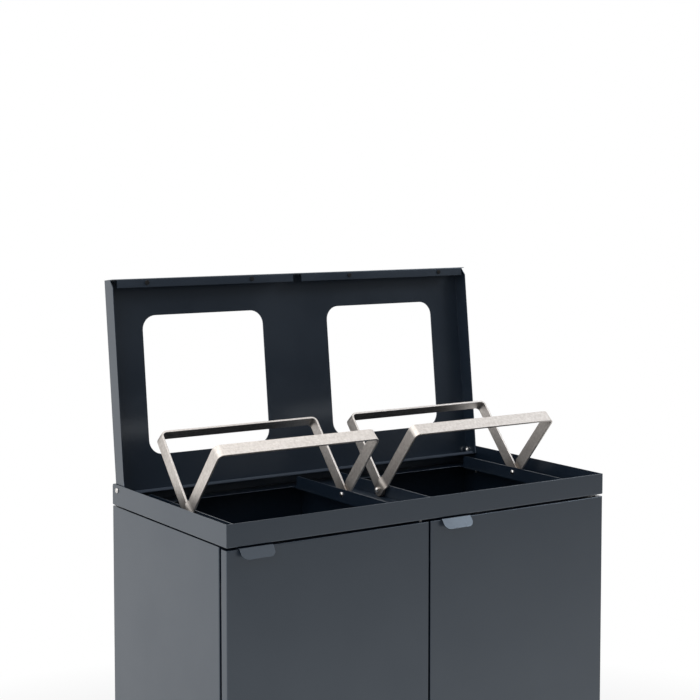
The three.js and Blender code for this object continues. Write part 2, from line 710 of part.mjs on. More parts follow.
['left', 'right'].forEach((holder, index) => {
  const centre = holderCentres[index];
  [-1, 1].forEach((side, place) => {
    const label = `${holder}_${place + 1}`;
    const from = (inner, outer) => Math.min(centre + side * inner, centre + side * outer);
    addPart(bin, `bag_rail_${label}`, bagRail(from(railInside, railOutside)), 'paint');
    const washer = pivotWasher(from(washerInside, washerInside + washerThickness));
    addPart(bin, `pivot_washer_${label}`, washer, 'blackPlastic');
    const headAt = centre + side * (railInside - seatGap);
    const nutAt = centre + side * (frontLegOutside + seatGap);
    const boltLength = frontLegOutside + nutBoreDepth - railInside;
    const bolt = domeBolt('x', [headAt, pivotY, pivotZ], side, boltLength);
    addPart(bin, `pivot_bolt_${label}`, bolt, 'stainless');
    addPart(bin, `pivot_nut_${label}`, domeNut([nutAt, pivotY, pivotZ], side), 'stainless');
  });
  const leans = { front: frontLean, rear: -rearLean };
  Object.entries(leans).forEach(([place, lean]) => {
    const frame = new THREE.Group();
    frame.position.set(centre, pivotY, pivotZ);
    frame.rotation.x = THREE.MathUtils.degToRad(lean);
    const solid = place === 'front' ? frontLoop() : rearLoop();
    addPart(frame, `bag_frame_${holder}_${place}`, solid, 'stainless');
    bin.add(frame);
  });
});

const lid = new THREE.Group();
lid.position.set(0, hingeY, hingeZ);
lid.rotation.x = -openTurn;
addPart(lid, 'lid', lidPan(), 'paint');
bufferPlaces.forEach(([x, y], index) => {
  addPart(lid, `lid_buffer_${index + 1}`, lidBuffer(x, y), 'blackRubber');
});
bin.add(lid);
const hingeEnds = [
  ['left', -seatGap, lidLeft + sheet + seatGap, 1],
  ['right', binWidth + seatGap, lidRight - sheet - seatGap, -1],
];
hingeEnds.forEach(([side, headAt, nutAt, inwards]) => {
  const length = Math.abs(nutAt - headAt) + nutBoreDepth - seatGap;
  const bolt = domeBolt('x', [headAt, hingeY, hingeZ], inwards, length);
  addPart(bin, `lid_hinge_bolt_${side}`, bolt, 'stainless');
  addPart(bin, `lid_hinge_nut_${side}`, domeNut([nutAt, hingeY, hingeZ], inwards), 'stainless');
});

// The origin is the middle of the underside of everything, on the floor.
bin.updateMatrixWorld(true);
const extent = new THREE.Box3().setFromObject(bin, true);
const middle = extent.getCenter(new THREE.Vector3());
bin.position.set(-middle.x, -middle.y, -extent.min.z);

export default bin;
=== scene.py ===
# %% [markdown]
# # A double recycling bin, dressed for its photograph
#
# The bin is a powder-coated steel cabinet with two doors, a tray on top of it, two pairs of folding
# steel frames that hold the sacks, and a lid that stands open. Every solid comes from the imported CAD
# model. This lesson gives each of them its rolled edges, its coat of paint or its brushed grain, and
# then lights the whole bin as in a plain studio.

import json
import math
import bmesh
import bpy
import numpy as np
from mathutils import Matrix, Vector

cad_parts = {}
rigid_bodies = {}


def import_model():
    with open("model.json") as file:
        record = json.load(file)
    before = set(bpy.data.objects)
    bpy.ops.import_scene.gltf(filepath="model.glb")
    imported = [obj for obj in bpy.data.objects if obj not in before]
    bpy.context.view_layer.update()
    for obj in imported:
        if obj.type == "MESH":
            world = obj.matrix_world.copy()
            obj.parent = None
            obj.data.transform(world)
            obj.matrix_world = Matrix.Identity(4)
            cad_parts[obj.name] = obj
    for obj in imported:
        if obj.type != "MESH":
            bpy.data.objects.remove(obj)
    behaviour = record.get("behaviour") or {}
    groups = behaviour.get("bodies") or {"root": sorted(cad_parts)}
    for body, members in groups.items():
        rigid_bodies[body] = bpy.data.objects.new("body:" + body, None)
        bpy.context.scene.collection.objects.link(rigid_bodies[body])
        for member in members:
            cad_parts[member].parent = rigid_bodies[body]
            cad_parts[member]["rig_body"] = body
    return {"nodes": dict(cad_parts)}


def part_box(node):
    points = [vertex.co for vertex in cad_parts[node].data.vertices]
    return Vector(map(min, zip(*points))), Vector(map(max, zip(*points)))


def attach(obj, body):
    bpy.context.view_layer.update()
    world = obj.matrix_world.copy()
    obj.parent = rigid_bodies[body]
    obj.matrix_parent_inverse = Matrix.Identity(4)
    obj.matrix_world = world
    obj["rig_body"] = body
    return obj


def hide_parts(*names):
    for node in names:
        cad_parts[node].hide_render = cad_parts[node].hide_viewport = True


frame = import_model()
scene = bpy.context.scene


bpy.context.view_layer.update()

# %% [markdown]
# ## Measures
#
# All lengths are in metres, in the CAD model's own frame: x runs along the doors, y from the doors to
# the back, z up. Places could be typed in, but they are read from the boxes of the solids, so a piece
# that is made here sits exactly where the solid is that it stands for. Only what no box shows is a
# number of its own, such as the section of a bar and the lean of the frames.

# %% Read the places of the pivots and the size of a frame
MM = 0.001


def middle(node):
    """The middle of a solid's box, as an array."""
    low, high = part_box(node)
    return (np.array(low) + np.array(high)) / 2


def reach(node):
    """The three side lengths of a solid's box."""
    low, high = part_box(node)
    return np.array(high) - np.array(low)


SIDES = ("left", "right")
SHEET = 1.5 * MM
BAR_WIDTH = 25 * MM
BAR_THICKNESS = 4 * MM
BAR_BEND = 7.5 * MM  # inside radius
LEANS = {"front": math.radians(40), "rear": math.radians(41)}  # from upright
LOOP_HALF = reach("bag_frame_left_rear")[0] / 2
LOOP_REACH = 173 * MM  # from the pivot to the outside of the crossbar
LOOP_LENGTH = 2 * (LOOP_REACH + LOOP_HALF)
for side in SIDES:
    print(side, "pivot", middle(f"pivot_bolt_{side}_1").round(4), "half width", round(LOOP_HALF, 4))

# %% [markdown]
# ## Surfaces from arrays
#
# What is bent from bar or strip can be described as rings of points: each ring is the section, a rounded
# rectangle, at one place along the bar. One helper joins such rings into a closed skin, and both the sack
# frames and the door pulls use it. It could be done face by face in a loop, but whole arrays are shorter
# and much faster.

# %% A closed skin over rings of points
def enclosed_volume(points, faces):
    """The signed volume of a skin: a sixth of the sum of each quad's two corner tetrahedra."""
    a, b, c, d = (points[faces[:, k]] for k in range(4))
    halves = np.einsum("ij,ij->i", a, np.cross(b, c)) + np.einsum("ij,ij->i", a, np.cross(c, d))
    return halves.sum() / 6


def skin(name, rings, along, around):
    """A mesh over rings[i, j], which is point j of ring i.

    Neighbouring rings are joined by quads, and each end ring is closed by one flat face.
    along[i] and around[j] are lengths on the surface, kept as the map "grain" in metres.
    """
    count, sides = rings.shape[:2]
    points = rings.reshape(-1, 3)
    i, j = np.meshgrid(np.arange(count - 1), np.arange(sides), indexing="ij")
    i, j = i.ravel(), j.ravel()
    after = (j + 1) % sides
    faces = np.stack([i * sides + j, i * sides + after, (i + 1) * sides + after, (i + 1) * sides + j], 1)
    u = np.stack([along[i], along[i], along[i + 1], along[i + 1]], 1)
    v = np.stack([around[j], around[j + 1], around[j + 1], around[j]], 1)
    ends = [np.arange(sides)[::-1], (count - 1) * sides + np.arange(sides)]
    if enclosed_volume(points, faces) < 0:
        faces, u, v = faces[:, ::-1], u[:, ::-1], v[:, ::-1]
        ends = [end[::-1] for end in ends]
    mesh = bpy.data.meshes.new(name)
    mesh.from_pydata(points.tolist(), [], faces.tolist() + [end.tolist() for end in ends])
    grain = np.zeros((len(mesh.loops), 2))
    grain[: faces.size, 0] = u.ravel()
    grain[: faces.size, 1] = v.ravel()
    mesh.uv_layers.new(name="grain").data.foreach_set("uv", grain.ravel())
    mesh.validate()
    piece = bpy.data.objects.new(name, mesh)
    scene.collection.objects.link(piece)
    return piece


def smooth(piece, degrees=35):
    """Shades a piece smooth, apart from edges that turn by more than the angle."""
    piece.data.polygons.foreach_set("use_smooth", np.ones(len(piece.data.polygons), bool))
    piece.data.set_sharp_from_angle(angle=math.radians(degrees))
    piece.data.update()


def flat_faces(piece):
    """Lets the large faces of a piece rule the shading, so that a rolled edge stays narrow."""
    weighted = piece.modifiers.new("flat faces", "WEIGHTED_NORMAL")
    weighted.weight = 100
    weighted.keep_sharp = True


def rounded_section(half_a, half_b, radius, steps=3):
    """A rounded rectangle: each corner's centre plus the radius times (cos, sin), four quarter turns.

    half_a and half_b are the half sides, as arrays over the rings. The result is [ring, point, 2].
    """
    turn = np.arange(steps + 1) / steps * math.pi / 2
    angles = np.concatenate([turn + quarter * math.pi / 2 for quarter in range(4)])
    sign_a = np.repeat([1, -1, -1, 1], steps + 1)
    sign_b = np.repeat([1, 1, -1, -1], steps + 1)
    half_a, half_b, radius = (np.asarray(value)[:, None] for value in (half_a, half_b, radius))
    a = sign_a * (half_a - radius) + radius * np.cos(angles)
    b = sign_b * (half_b - radius) + radius * np.sin(angles)
    return np.stack([a, b], 2)


def lengths_round(ring):
    """The running length round a closed ring, with its start again at the end."""
    closed = np.vstack([ring, ring[:1]])
    return np.concatenate([[0], np.cumsum(np.linalg.norm(np.diff(closed, axis=0), axis=1))])


print("section points", rounded_section([1, 1], [2, 2], [0.2, 0.2]).shape)

# %% [markdown]
# ## Effects that several finishes share
#
# Powder coat, nylon and rubber all have a fine grain, and every upward face of a bin gathers a little
# dust; the same paler tone on upward faces also stands for a painted sheen. Each effect is a node group,
# built once and placed in each material with its own numbers. A painted picture could do the same, but a
# procedure has no seams and works at any distance.

# %% Node group helpers
def new_group(name, inputs, outputs):
    """A node group with named sockets. inputs holds (name, kind, default), outputs (name, kind)."""
    group = bpy.data.node_groups.new(name, "ShaderNodeTree")
    for label, kind, default in inputs:
        socket = group.interface.new_socket(label, in_out="INPUT", socket_type=kind)
        if default is not None:
            socket.default_value = default
    for label, kind in outputs:
        group.interface.new_socket(label, in_out="OUTPUT", socket_type=kind)
    entry = group.nodes.new("NodeGroupInput")
    leave = group.nodes.new("NodeGroupOutput")
    return group, entry, leave


def node(tree, kind, links=None, **settings):
    """Adds a node, sets its properties or plain inputs, and links its inputs from other sockets."""
    made = tree.nodes.new(kind)
    for key, value in settings.items():
        setattr(made, key, value)
    for key, value in (links or {}).items():
        if isinstance(value, bpy.types.NodeSocket):
            tree.links.new(value, made.inputs[key])
        else:
            made.inputs[key].default_value = value
    return made


def maths(tree, operation, a, b=0.0):
    """One sum of two values, which may be numbers or sockets; gives its output socket."""
    return node(tree, "ShaderNodeMath", {0: a, 1: b}, operation=operation).outputs[0]


def spread(tree, value, low, high, to_low=0.0, to_high=1.0):
    """Maps a value from one range to another, held at its ends."""
    made = node(tree, "ShaderNodeMapRange", {0: value, 1: low, 2: high, 3: to_low, 4: to_high})
    return made.outputs[0]


# %% Fine grain, cloudiness, dust with a painted sheen, and streaks
def fine_grain():
    """Height of a sprayed or moulded surface: two noises, one for its grain and one for its waves."""
    group, entry, leave = new_group(
        "Fine grain",
        [("Vector", "NodeSocketVector", None), ("Per metre", "NodeSocketFloat", 900.0)],
        [("Height", "NodeSocketFloat")],
    )
    place, density = entry.outputs["Vector"], entry.outputs["Per metre"]
    grain = node(group, "ShaderNodeTexNoise", {"Vector": place, "Scale": density, "Detail": 2.0})
    wide = maths(group, "MULTIPLY", density, 0.3)
    waves = node(group, "ShaderNodeTexNoise", {"Vector": place, "Scale": wide, "Detail": 1.0})
    both = maths(group, "MULTIPLY_ADD", waves.outputs["Fac"], 0.6)
    group.links.new(grain.outputs["Fac"], both.node.inputs[2])
    group.links.new(both, leave.inputs["Height"])
    return group


def cloudiness():
    """Slow changes over a hand's breadth, as a value about 0.5 and as a finer mottling."""
    group, entry, leave = new_group(
        "Cloudiness",
        [("Vector", "NodeSocketVector", None)],
        [("Slow", "NodeSocketFloat"), ("Mottle", "NodeSocketFloat")],
    )
    place = entry.outputs["Vector"]
    slow = node(group, "ShaderNodeTexNoise", {"Vector": place, "Scale": 9.0, "Detail": 3.0})
    fine = node(group, "ShaderNodeTexNoise", {"Vector": place, "Scale": 210.0, "Detail": 4.0})
    group.links.new(slow.outputs["Fac"], leave.inputs["Slow"])
    group.links.new(fine.outputs["Fac"], leave.inputs["Mottle"])
    return group


def dust_and_painted_sheen():
    """Dust with a painted sheen as a mask: how far a face looks up, times a patchy noise, times the amount.
    """
    group, entry, leave = new_group(
        "Dust and painted sheen",
        [("Vector", "NodeSocketVector", None), ("Amount", "NodeSocketFloat", 0.2)],
        [("Mask", "NodeSocketFloat")],
    )
    shape = node(group, "ShaderNodeNewGeometry")
    split = node(group, "ShaderNodeSeparateXYZ", {0: shape.outputs["True Normal"]})
    upward = spread(group, split.outputs["Z"], 0.6, 1.0)
    place = entry.outputs["Vector"]
    patches = node(group, "ShaderNodeTexNoise", {"Vector": place, "Scale": 34.0, "Detail": 5.0})
    patchy = spread(group, patches.outputs["Fac"], 0.35, 0.75)
    both = maths(group, "MULTIPLY", upward, patchy)
    group.links.new(maths(group, "MULTIPLY", both, entry.outputs["Amount"]), leave.inputs["Mask"])
    return group


def brushed_streaks():
    """Streaks along a bar: a noise whose place is stretched, long in u and short in v."""
    group, entry, leave = new_group(
        "Brushed streaks",
        [
            ("Vector", "NodeSocketVector", None),
            ("Length", "NodeSocketFloat", 22.0),
            ("Width", "NodeSocketFloat", 2600.0),
        ],
        [("Streak", "NodeSocketFloat"), ("Fine", "NodeSocketFloat")],
    )
    split = node(group, "ShaderNodeSeparateXYZ", {0: entry.outputs["Vector"]})
    u = maths(group, "MULTIPLY", split.outputs["X"], entry.outputs["Length"])
    v = maths(group, "MULTIPLY", split.outputs["Y"], entry.outputs["Width"])
    place = node(group, "ShaderNodeCombineXYZ", {0: u, 1: v}).outputs[0]
    broad = node(group, "ShaderNodeTexNoise", {"Vector": place, "Scale": 0.35, "Detail": 3.0})
    fine = node(group, "ShaderNodeTexNoise", {"Vector": place, "Scale": 1.0, "Detail": 2.0})
    group.links.new(broad.outputs["Fac"], leave.inputs["Streak"])
    group.links.new(fine.outputs["Fac"], leave.inputs["Fine"])
    return group


FINE_GRAIN = fine_grain()
CLOUDINESS = cloudiness()
DUST_AND_PAINTED_SHEEN = dust_and_painted_sheen()
BRUSHED_STREAKS = brushed_streaks()
print("node groups", [group.name for group in bpy.data.node_groups])

# %% [markdown]
# ## Finishes
#
# Each finish is one Principled shader. What is the same all over the surface is set on its own socket;
# what changes, such as the dust or the grain, comes from the groups. The helpers below keep each finish
# short: they place a group, mix two tones, and let the roughness and the normal follow a value.

# %% Helpers for a finish
def place_group(tree, group, **inputs):
    """Puts a shared group into a material and feeds its inputs."""
    made = tree.nodes.new("ShaderNodeGroup")
    made.node_tree = group
    for key, value in inputs.items():
        label = key.replace("_", " ")
        if isinstance(value, bpy.types.NodeSocket):
            tree.links.new(value, made.inputs[label])
        else:
            made.inputs[label].default_value = value
    return made.outputs


def new_finish(name, **sockets):
    """A material with one Principled shader, whose plain sockets are given by name."""
    material = bpy.data.materials.new(name)
    material.use_nodes = True
    tree = material.node_tree
    shader = tree.nodes["Principled BSDF"]
    for key, value in sockets.items():
        shader.inputs[key.replace("_", " ")].default_value = value
    return material, tree, shader


def tone(tree, shader, colour, factor, other):
    """Base Color runs from one colour, or from a colour socket, to another colour by a mask."""
    mix = node(tree, "ShaderNodeMix", data_type="RGBA")
    tree.links.new(factor, mix.inputs["Factor"])
    if isinstance(colour, bpy.types.NodeSocket):
        tree.links.new(colour, mix.inputs["A"])
    else:
        mix.inputs["A"].default_value = (*colour, 1)
    mix.inputs["B"].default_value = (*other, 1)
    tree.links.new(mix.outputs["Result"], shader.inputs["Base Color"])
    return mix.outputs["Result"]


def rough_by(tree, shader, value, low, high):
    """Roughness follows a value that lies about 0.5."""
    tree.links.new(spread(tree, value, 0.3, 0.7, low, high), shader.inputs["Roughness"])


def bumped(tree, shader, height, depth):
    """The normal follows a height, which stands for a real depth in metres."""
    bump = node(tree, "ShaderNodeBump", {"Strength": 1.0, "Distance": depth, "Height": height})
    tree.links.new(bump.outputs["Normal"], shader.inputs["Normal"])


def object_place(tree):
    """The place on the object in metres."""
    return node(tree, "ShaderNodeTexCoord").outputs["Object"]


print("helpers", [helper.__name__ for helper in (place_group, new_finish, tone, rough_by, bumped)])

# %% [markdown]
# ### Powder coat
#
# The steel is dusted with dry paint and baked, which leaves a satin film with a faint orange peel about
# a millimetre across. A clear coat on top would give the sheen too, but a real powder coat has only one
# layer, so the shine is the base layer's own. The paint itself is nearly black. Its grey comes from the
# pale room that it mirrors, which is why the side that is turned to the light looks so much lighter than
# the doors. So its index of refraction is high, for a strong mirror image, and a faint blue tint on what
# it mirrors gives the paint its cold hue.
#
# The lid's two lips look paler than its inside, because they catch more light: the rear one most, and
# the front one a little. The lid therefore has a coat of its own, which is the same paint with a mask
# that paints a highlight on the lips.

# %% Powder coat
PAINT = (0.0060, 0.0130, 0.0250)
# the paler tone of dust with a painted sheen, and of the painted highlight on the lid's lips
PAINT_DUST_SHEEN_TONE = (0.090, 0.112, 0.148)
PAINT_TINT = (0.83, 0.915, 1.0, 1.0)
PAINT_DUST_SHEEN_AMOUNT = 0.05
LID_LEAN = math.radians(6.35)
LID_HINGE = middle("lid_hinge_bolt_left") * [0, 1, 1]
LID_UP = (0, math.sin(LID_LEAN), math.cos(LID_LEAN))
LID_OUT = (0, -math.cos(LID_LEAN), math.sin(LID_LEAN))
LIPS_OUT = (23.2 * MM, 24.2 * MM)  # from the hinge, straight out of the lid
REAR_LIP_UP = (10 * MM, 20 * MM)  # the rear lip lies below this, the front lip above
# how strong the painted highlight on the front lip is beside the rear one
FRONT_LIP_SHEEN = 0.06  # how pale the front lip is beside the rear one


def powder_coat(name, painted_sheen=None):
    """Satin paint, paler by dust and a painted sheen on its upward faces, and by a painted highlight where
    a further mask says so.
    """
    material, tree, shader = new_finish(name, IOR=1.95, Specular_Tint=PAINT_TINT)
    place = object_place(tree)
    clouds = place_group(tree, CLOUDINESS, Vector=place)
    # dust on upward faces, which also paints a faint sheen there
    mask = place_group(tree, DUST_AND_PAINTED_SHEEN, Vector=place, Amount=PAINT_DUST_SHEEN_AMOUNT)["Mask"]
    # the lid's coat adds a painted highlight on its lips, which catch more light
    if painted_sheen:
        mask = maths(tree, "MAXIMUM", mask, painted_sheen(tree, place))
    tone(tree, shader, PAINT, mask, PAINT_DUST_SHEEN_TONE)
    rough_by(tree, shader, clouds["Slow"], 0.29, 0.35)
    grain = place_group(tree, FINE_GRAIN, Vector=place, Per_metre=850.0)
    bumped(tree, shader, grain["Height"], 0.05 * MM)
    return material


def painted_lip_sheen(tree, place):
    """A mask of the open lid's two lips for a painted highlight: all that lies beyond a plane along the
    lid.

    With the hinge h, the lean a, up the lid u = (0, sin a, cos a) and out of it n = (0, -cos a, sin a),
    a point p is on a lip where (p - h).n is more than LIPS_OUT, and (p - h).u tells which lip it is.
    """
    arm = node(tree, "ShaderNodeVectorMath", {0: place, 1: LID_HINGE}, operation="SUBTRACT").outputs[0]
    out = node(tree, "ShaderNodeVectorMath", {0: arm, 1: LID_OUT}, operation="DOT_PRODUCT")
    up = node(tree, "ShaderNodeVectorMath", {0: arm, 1: LID_UP}, operation="DOT_PRODUCT")
    lips = spread(tree, out.outputs["Value"], *LIPS_OUT)
    return maths(tree, "MULTIPLY", lips, spread(tree, up.outputs["Value"], *REAR_LIP_UP, 1.0, FRONT_LIP_SHEEN))


ANTHRACITE = powder_coat("Anthracite powder coat")
ANTHRACITE_LID_SHEEN = powder_coat("Anthracite powder coat, lid with painted lip highlight", painted_lip_sheen)
print("coats", ANTHRACITE.name, ANTHRACITE_LID_SHEEN.name, "hinge", LID_HINGE.round(4))

# %% [markdown]
# ### Brushed stainless steel
#
# The sack frames are flat bar that was brushed along its length before it was bent, so the streaks
# follow the bar round its corners. They are drawn on the bar's own map, where u is the length along it.
# Streaks alone look combed, so a mottling takes the larger share of the tone. The lowest few centimetres
# of each leg reach down between the legs and towards the dark tray, and a brown painted shade darkens them.
#
# The bolts and nuts are turned and the pins are zinc-plated. Those finishes have no direction, so both
# come from one plain recipe.

# %% Brushed bar, turned and plated steel
STEEL_DULL = (0.54, 0.495, 0.455)
STEEL_BRIGHT = (0.80, 0.755, 0.715)
# painted shade: a dark brown tone for the shade and the dark mirror image at the legs' lower ends
LEG_END_SHADE = (0.13, 0.105, 0.085)
SHADE_FADES = 45 * MM  # from the leg's end
SHADE_FULL = 12 * MM


def brushed_bar():
    """Stainless bar: streaks along u, a mottling over all, and a painted shade at the ends by the length
    from the end.
    """
    material, tree, shader = new_finish("Brushed stainless bar", Metallic=1.0)
    grain = node(tree, "ShaderNodeUVMap", uv_map="grain").outputs["UV"]
    streaks = place_group(tree, BRUSHED_STREAKS, Vector=grain)
    clouds = place_group(tree, CLOUDINESS, Vector=object_place(tree))
    mottled = spread(tree, clouds["Mottle"], 0.30, 0.70, 0.0, 0.55)
    streaky = spread(tree, streaks["Streak"], 0.30, 0.70, 0.0, 0.45)
    mask = maths(tree, "ADD", mottled, streaky)
    clean = tone(tree, shader, STEEL_DULL, mask, STEEL_BRIGHT)
    # painted shade at both ends of the bar, by the length from its middle
    length = node(tree, "ShaderNodeSeparateXYZ", {0: grain}).outputs["X"]
    from_middle = maths(tree, "ABSOLUTE", maths(tree, "SUBTRACT", length, LOOP_LENGTH / 2))
    shade_range = (LOOP_LENGTH / 2 - SHADE_FADES, LOOP_LENGTH / 2 - SHADE_FULL)
    shaded_end = spread(tree, from_middle, *shade_range, 0.0, 0.62)
    patchy = maths(tree, "MULTIPLY", shaded_end, spread(tree, clouds["Mottle"], 0.3, 0.6, 0.7, 1.0))
    tone(tree, shader, clean, patchy, LEG_END_SHADE)
    rough_by(tree, shader, streaks["Streak"], 0.44, 0.56)
    bumped(tree, shader, streaks["Fine"], 0.02 * MM)
    return material


def plain_metal(name, colour, other, rough, grain_depth):
    """Metal without a direction: its tone and its shine are mottled a little."""
    material, tree, shader = new_finish(name, Metallic=1.0)
    place = object_place(tree)
    clouds = place_group(tree, CLOUDINESS, Vector=place)
    tone(tree, shader, colour, clouds["Mottle"], other)
    rough_by(tree, shader, clouds["Mottle"], rough - 0.05, rough + 0.06)
    grain = place_group(tree, FINE_GRAIN, Vector=place, Per_metre=2600.0)
    bumped(tree, shader, grain["Height"], grain_depth)
    return material


BRUSHED_BAR = brushed_bar()
TURNED_STEEL = plain_metal("Turned stainless", (0.60, 0.58, 0.56), (0.72, 0.70, 0.68), 0.26, 0.01 * MM)
ZINC_PLATE = plain_metal("Zinc plate", (0.44, 0.45, 0.46), (0.58, 0.59, 0.60), 0.36, 0.015 * MM)
print("metals", BRUSHED_BAR.name, TURNED_STEEL.name, ZINC_PLATE.name)

# %% [markdown]
# ### Rubber and nylon
#
# The buffers under the lid are rubber; the feet, spacers, washers and catches are nylon. One black
# material would do at a distance, but rubber is duller and its grain coarser, so they share a recipe
# and each has its own numbers.

# %% Black rubber and nylon
def moulded(name, colour, rough, per_metre, depth):
    """A moulded black piece: dull, with the grain of its mould and a little dust with a painted sheen."""
    material, tree, shader = new_finish(name, IOR=1.38)
    place = object_place(tree)
    # dust on upward faces, which also paints a faint sheen there
    dust_and_sheen = place_group(tree, DUST_AND_PAINTED_SHEEN, Vector=place, Amount=0.1)
    tone(tree, shader, colour, dust_and_sheen["Mask"], (0.08, 0.08, 0.085))
    clouds = place_group(tree, CLOUDINESS, Vector=place)
    rough_by(tree, shader, clouds["Mottle"], rough - 0.06, rough + 0.06)
    grain = place_group(tree, FINE_GRAIN, Vector=place, Per_metre=per_metre)
    bumped(tree, shader, grain["Height"], depth)
    return material


RUBBER = moulded("Black rubber", (0.005, 0.005, 0.006), 0.66, 1500.0, 0.05 * MM)
NYLON = moulded("Black nylon", (0.015, 0.016, 0.018), 0.5, 2200.0, 0.03 * MM)
print("mouldings", RUBBER.name, NYLON.name)

# %% [markdown]
# ## Sheet metal with rolled edges
#
# The CAD solids of the pans and panels have the right walls and folds, but their edges are perfectly
# sharp, and a sharp edge never catches the light. The paint on a real cut edge is rounded. A copy of each
# solid is cleaned into large flat faces and a Bevel rolls its edges by a third of a millimetre.

# %% Dress a solid with rolled edges
SHEET_ROLL = 0.35 * MM


def dressed(name, ending, material, roll, angle=38):
    """A merged copy of a CAD solid, with its edges rolled, which stands for that solid.

    The roll is its width in metres; edges that turn by more than the angle in degrees are rolled.
    """
    source = frame["nodes"][name]
    solid = bmesh.new()
    solid.from_mesh(source.data)
    bmesh.ops.remove_doubles(solid, verts=solid.verts, dist=1e-6)
    bmesh.ops.dissolve_limit(
        solid, angle_limit=math.radians(1), verts=solid.verts, edges=solid.edges, delimit={"NORMAL"}
    )
    mesh = bpy.data.meshes.new(f"{name}_{ending}")
    solid.to_mesh(mesh)
    solid.free()
    piece = bpy.data.objects.new(f"{name}_{ending}", mesh)
    scene.collection.objects.link(piece)
    mesh.materials.append(material)
    smooth(piece, angle)
    bevel = piece.modifiers.new("rolled edge", "BEVEL")
    bevel.width = roll
    bevel.segments = 2
    bevel.limit_method = "ANGLE"
    bevel.angle_limit = math.radians(angle)
    bevel.use_clamp_overlap = True
    flat_faces(piece)
    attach(piece, source["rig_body"])
    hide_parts(name)


COATED = ["top_tray", "side_panel_left", "side_panel_right", "back_panel", "centre_post"]
COATED += ["centre_divider", "base_pan", "door_left", "door_right"]
COATED += [f"bag_rail_{side}_{end}" for side in SIDES for end in (1, 2)]
for name in COATED:
    dressed(name, "coated", ANTHRACITE, SHEET_ROLL)
dressed("lid", "coated", ANTHRACITE_LID_SHEEN, SHEET_ROLL)
print("coated pieces", len(COATED) + 1)

# %% [markdown]
# ## Door pulls
#
# A pull is a strip of sheet: its root lies on the door's top edge and its tongue slopes out over the
# door. It could be dressed like the panels, but its free corners are the roundest thing on the doors, so
# it is swept instead: the section keeps its thickness and narrows along a quarter circle at the tip.

# %% Sweep the two pulls
PULL_ROOT = 15 * MM
PULL_TONGUE = 22 * MM  # from the fold to the tip
PULL_SLOPE = math.radians(52)  # below level
PULL_BEND = 1.25 * MM  # radius of the fold's middle line
PULL_CORNER = 12 * MM
PULL_EDGE = 0.3 * MM
PULL_FLAT = 5 * MM  # down the tongue, still well above the corners


def door_pull(side):
    """A strip along a bent middle line, narrowed at its tip.

    The line turns by the slope about a small circle. Near the tip the half width is
    w = W / 2 - R + R * cos(f), at the distance L - R * (1 - sin(f)) down the tongue, for f from 0 to
    just short of a quarter turn.
    """
    name = f"door_pull_{side}"
    low, high = (np.array(corner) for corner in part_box(name))
    level = high[2] - SHEET / 2
    fold = PULL_BEND * math.tan(PULL_SLOPE / 2)
    centre = np.array([high[1] - PULL_ROOT + fold, level - PULL_BEND])
    turn = np.linspace(0, PULL_SLOPE, 6)
    arc = centre + PULL_BEND * np.stack([-np.sin(turn), np.cos(turn)], 1)
    tip = np.linspace(0, 0.48 * math.pi, 12)
    down = np.concatenate([[PULL_FLAT], PULL_TONGUE - fold - PULL_CORNER * (1 - np.sin(tip))])
    tongue = arc[-1] - down[:, None] * [math.cos(PULL_SLOPE), math.sin(PULL_SLOPE)]
    path = np.vstack([[high[1], level], arc, tongue])
    angle = np.concatenate([[0], turn, np.full(len(down), PULL_SLOPE)])
    half_width = np.full(len(path), (high[0] - low[0]) / 2)
    half_width[-len(tip):] += PULL_CORNER * (np.cos(tip) - 1)
    thickness, edge = np.full(len(path), SHEET / 2), np.full(len(path), PULL_EDGE)
    section = rounded_section(thickness, half_width, edge)
    thick, wide = section[:, :, 0], section[:, :, 1]
    y = path[:, 0, None] - thick * np.sin(angle)[:, None]
    z = path[:, 1, None] + thick * np.cos(angle)[:, None]
    rings = np.stack([wide + (low[0] + high[0]) / 2, y, z], 2)
    along = np.concatenate([[0], np.cumsum(np.linalg.norm(np.diff(path, axis=0), axis=1))])
    piece = skin(f"{name}_coated", rings, along, lengths_round(section[0]))
    piece.data.materials.append(ANTHRACITE)
    smooth(piece, 40)
    flat_faces(piece)
    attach(piece, frame["nodes"][name]["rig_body"])
    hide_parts(name)
    return piece


for side in SIDES:
    pull = door_pull(side)
    print(pull.name, len(pull.data.polygons), "faces")

# %% [markdown]
# ## Sack frames
#
# Each frame is one flat bar, bent easy-way into a U whose two legs turn on the pivot bolts. A swept bar is
# a ring of section points carried along the bar's middle line. Its ends are half discs, so the section's
# width follows a circle there. The front frame's legs also step outwards to lap over the rear ones. The
# step runs along the rear leg's edge, so each point shifts by its distance from that edge.

# %% The middle line of a frame
ROUND_START = 0.12  # where the leg's round end begins, in radians, so that its first ring has a width
STEP_ZONE = (1.5 * MM, 32 * MM)  # the stretch above the pivot whose rings lie close
PLAIN_LEG = 40 * MM  # where the leg has no step any more


